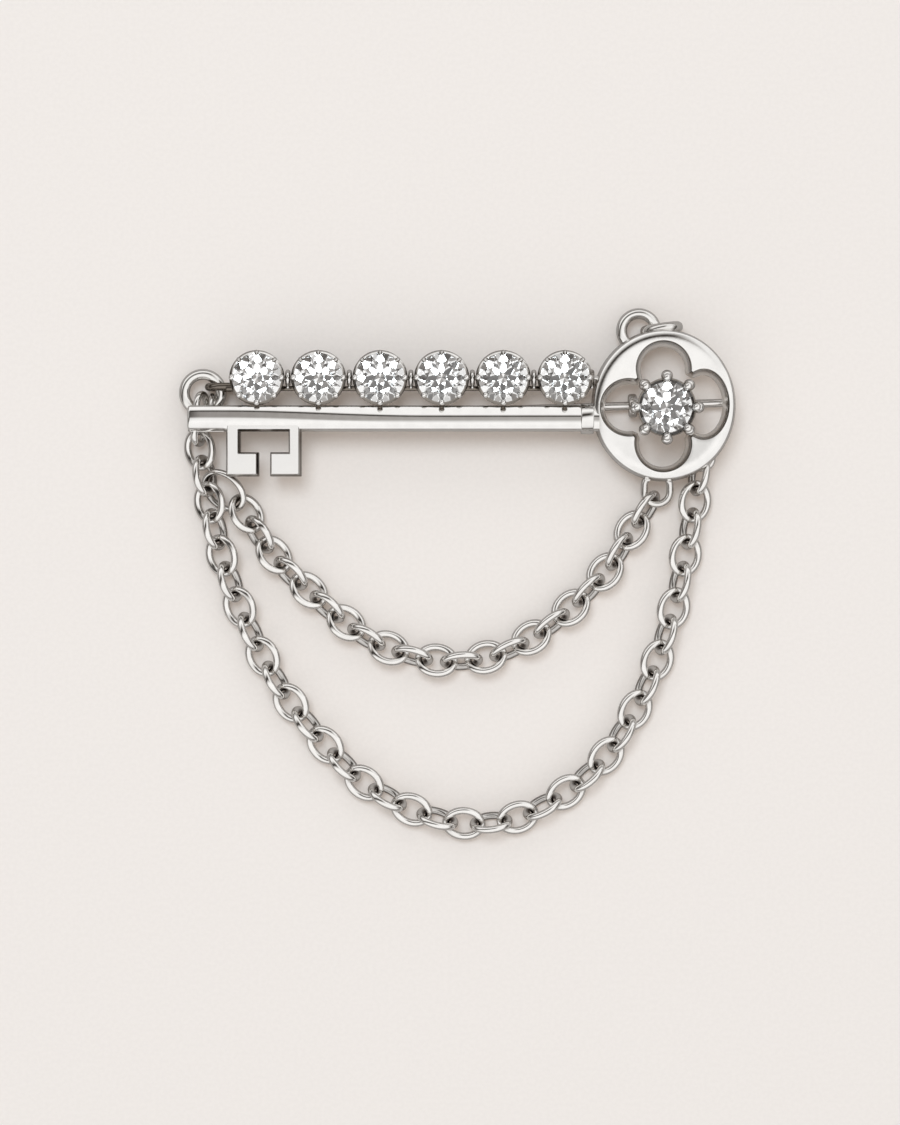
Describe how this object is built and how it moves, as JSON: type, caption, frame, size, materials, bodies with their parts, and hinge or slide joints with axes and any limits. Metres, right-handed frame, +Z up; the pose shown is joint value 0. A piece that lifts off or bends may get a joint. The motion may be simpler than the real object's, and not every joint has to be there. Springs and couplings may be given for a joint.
{
  "type": "key brooch with stone row and chain swags (lapel chain)",
  "caption": "Key-shaped pin brooch with a pierced bow, a row of prong-set round stones above the shaft and two chain swags hanging below it.",
  "frame": {"origin": "middle of the brooch's outline in plan, on the surface on which it lies", "axes": "+X along the key from the end of its shaft to its bow, +Y across the key away from the swags, +Z up to the face of the key"},
  "size_m": [0.0559, 0.0536, 0.0072],
  "materials": {
    "polished_metal": "bright rhodium-plated casting, polished, with soft edges",
    "setting_metal": "rhodium-plated prong settings, polished at their tips, darker below",
    "chain_metal": "rhodium-plated round wire, polished, slightly warmer and darker than the key",
    "pin_metal": "plated steel wire and turned parts, satin",
    "stone": "clear round brilliants with flat polished facets"
  },
  "bodies": {
    "root": {"key": "polished_metal", "bow_stone": "stone", "stone_row": "setting_metal", "row_stone_1": "stone", "row_stone_2": "stone", "row_stone_3": "stone", "row_stone_4": "stone", "row_stone_5": "stone", "row_stone_6": "stone", "left_ring": "chain_metal", "top_ring": "polished_metal", "hanger_link": "chain_metal", "inner_chain": "chain_metal", "outer_chain": "chain_metal", "pin_finding": "pin_metal"}
  },
  "joints": []
}
